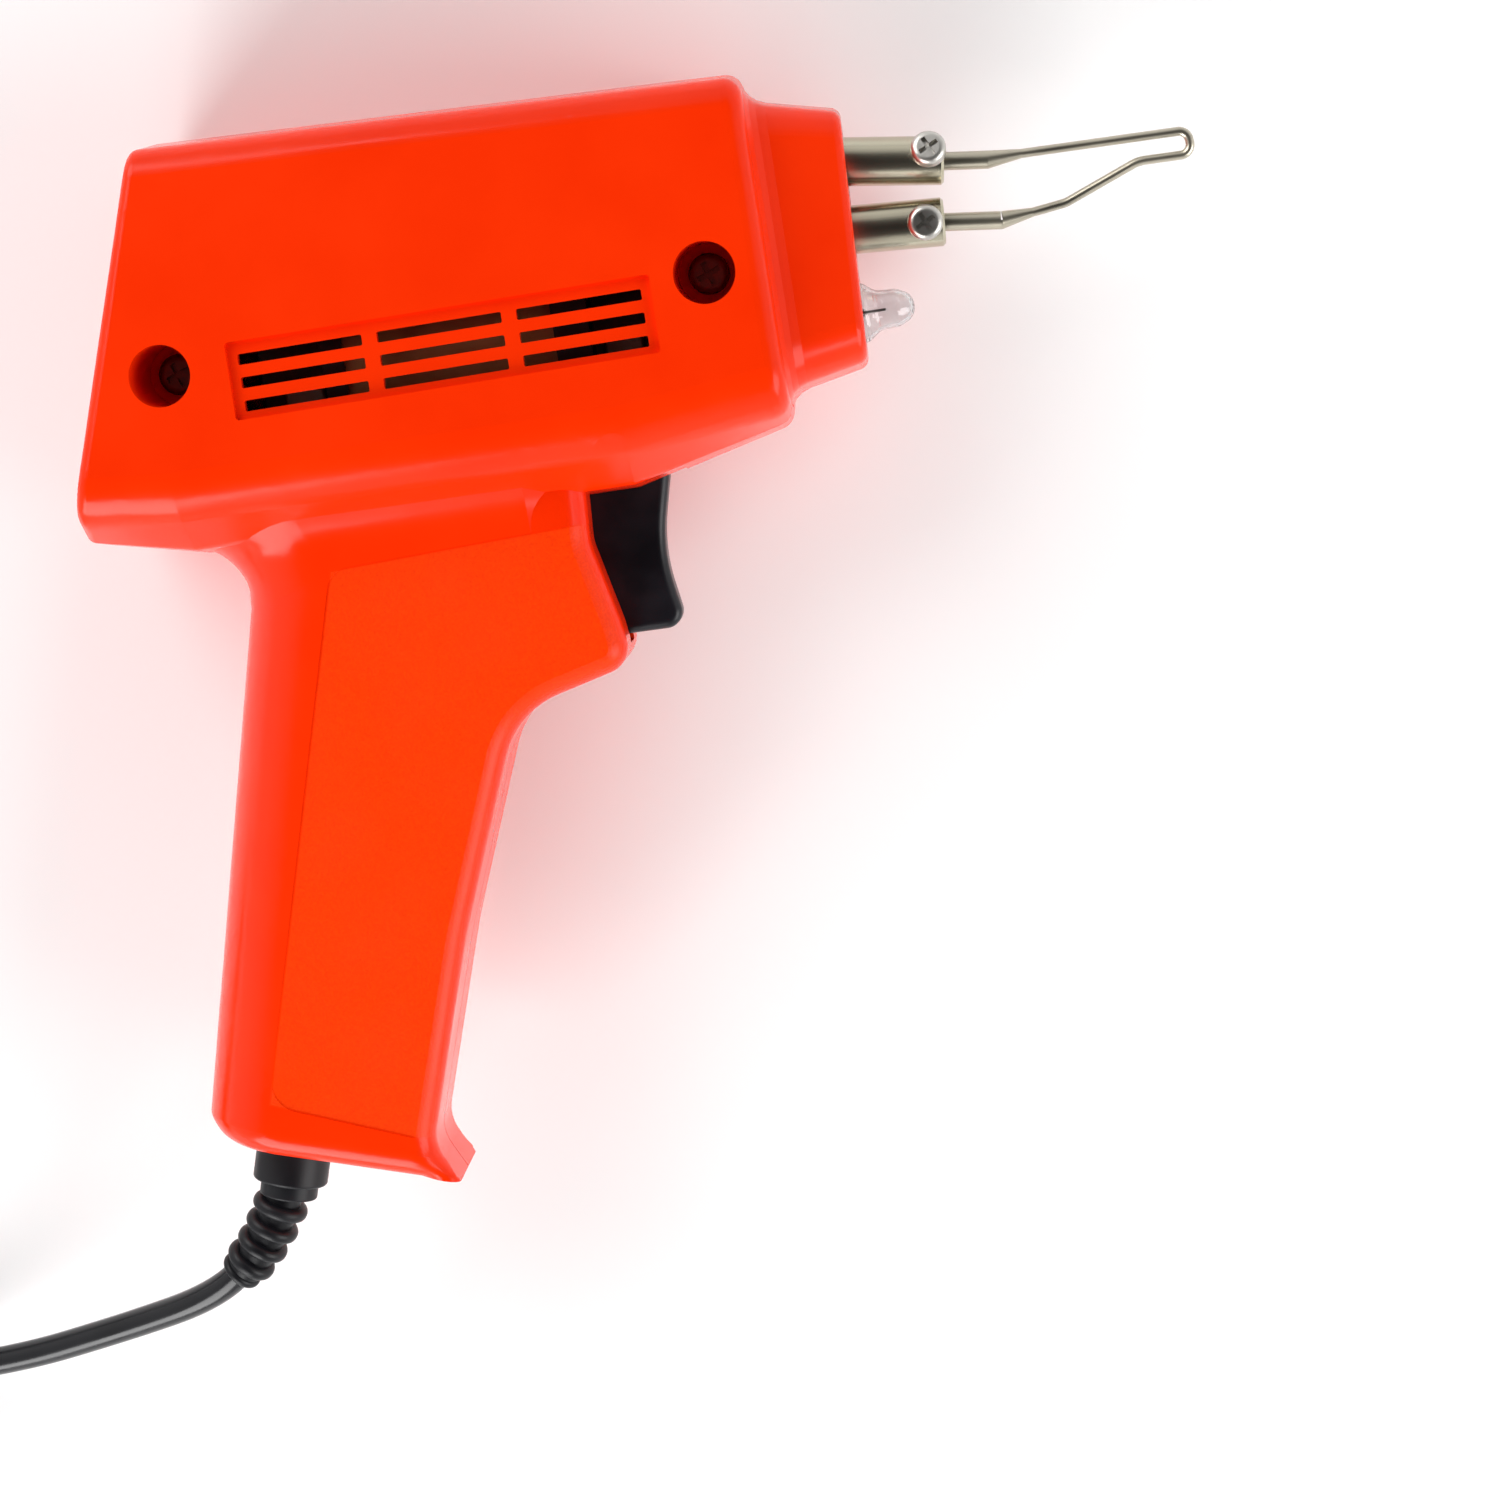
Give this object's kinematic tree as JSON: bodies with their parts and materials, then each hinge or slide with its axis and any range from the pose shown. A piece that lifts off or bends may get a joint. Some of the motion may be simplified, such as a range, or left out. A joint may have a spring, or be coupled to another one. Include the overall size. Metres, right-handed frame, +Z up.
{
  "type": "soldering gun",
  "caption": "Pistol-shaped transformer soldering gun lying on its side: two-part housing with grilles, sprung trigger, clamped wire loop tip, lamp, corded plug.",
  "frame": {"origin": "centre of the gun's own bounding box seen from above, on the surface it lies on (cord, coil and plug left out)", "axes": "the gun lies on its left side: +X towards the tip, +Y towards the top of the gun with the grip towards -Y, +Z up out of its right side, square to the surface"},
  "size_m": [0.35, 0.2161, 0.0499],
  "materials": {
    "shell_orange": "glossy, moulded in two halves; the grip panels are finely grained",
    "core_steel": "laminated and varnished",
    "zinc_steel": "bright zinc plate",
    "lead_pvc": "insulated wire",
    "black_nylon": "moulded",
    "coil_tape": "varnished tape over enamelled wire",
    "copper": "bare copper bar",
    "nickel_plate": "nickel plated, faint drawing marks",
    "brass": "stamped",
    "dark_screw": "blackened",
    "black_rubber": "soft moulded",
    "cord_pvc": "soft sheath",
    "trigger_black": "satin",
    "switch_grey": "moulded",
    "tip_plate": "nickel-plated copper wire",
    "lamp_glass": "clear",
    "filament_wire": "wire"
  },
  "bodies": {
    "base": {"housing_right": "shell_orange", "housing_left": "shell_orange", "core_u_stack": "core_steel", "core_i_stack": "core_steel", "core_rivet_rear_top": "zinc_steel", "core_rivet_rear_low": "zinc_steel", "core_rivet_front_top": "zinc_steel", "core_rivet_front_low": "zinc_steel", "bobbin": "black_nylon", "primary_coil": "coil_tape", "secondary_loop": "copper", "rod_upper": "nickel_plate", "rod_lower": "nickel_plate", "nose_insulator": "black_nylon", "lamp_socket": "brass", "trigger_pin": "zinc_steel", "trigger_spring": "zinc_steel", "switch_body": "black_nylon", "switch_terminal_a": "brass", "switch_terminal_b": "brass", "cord_clamp": "black_nylon", "cord_clamp_screw_a": "zinc_steel", "cord_clamp_screw_b": "zinc_steel", "housing_screw_rear": "dark_screw", "housing_screw_front": "dark_screw", "lead_switch": "lead_pvc", "lead_primary": "lead_pvc", "lead_switched": "lead_pvc", "lead_lamp": "lead_pvc", "strain_relief": "black_rubber", "cord": "cord_pvc", "cord_coil": "cord_pvc", "plug_body": "cord_pvc", "plug_pin_a": "nickel_plate", "plug_pin_b": "nickel_plate"},
    "trigger": {"trigger": "trigger_black"},
    "plunger": {"switch_plunger": "switch_grey"},
    "tip": {"tip": "tip_plate"},
    "clamp_screw_upper": {"clamp_screw_upper": "zinc_steel"},
    "clamp_screw_lower": {"clamp_screw_lower": "zinc_steel"},
    "bulb": {"bulb_cap": "nickel_plate", "bulb_glass": "lamp_glass", "bulb_filament": "filament_wire"}
  },
  "joints": [
    {"name": "trigger_pull", "type": "hinge", "parent": "base", "child": "trigger", "pos_m": [-0.00505, 0.03544, 0.02535], "axis": [0, -0.0872, -0.9962], "range_deg": [0, 8.5], "stiffness_Nm_per_rad": 0.5, "springref_deg": -8.59, "deforming": ["trigger_spring"]},
    {"name": "switch_press", "type": "slide", "parent": "base", "child": "plunger", "axis": [-1, 0, 0], "range_m": [0, 0.003]},
    {"name": "tip_pull_out", "type": "slide", "parent": "base", "child": "tip", "axis": [0.9921, -0.1249, 0.0109], "range_m": [0, 0.03]},
    {"name": "clamp_screw_upper_turn", "type": "hinge", "parent": "base", "child": "clamp_screw_upper", "pos_m": [0.05245, 0.07368, 0.02201], "axis": [0, 0.3584, 0.9336], "range_deg": [0, 360]},
    {"name": "clamp_screw_lower_turn", "type": "hinge", "parent": "base", "child": "clamp_screw_lower", "pos_m": [0.05015, 0.06375, 0.02288], "axis": [0, 0.0872, 0.9962], "range_deg": [0, 360]},
    {"name": "bulb_unscrew", "type": "hinge", "parent": "base", "child": "bulb", "pos_m": [0.03895, 0.05093, 0.024], "axis": [1, 0, 0], "range_deg": [0, 360]}
  ],
  "couplings": [
    {"joint": "switch_press", "follows": "trigger_pull", "m_per_rad": 0.0185}
  ]
}
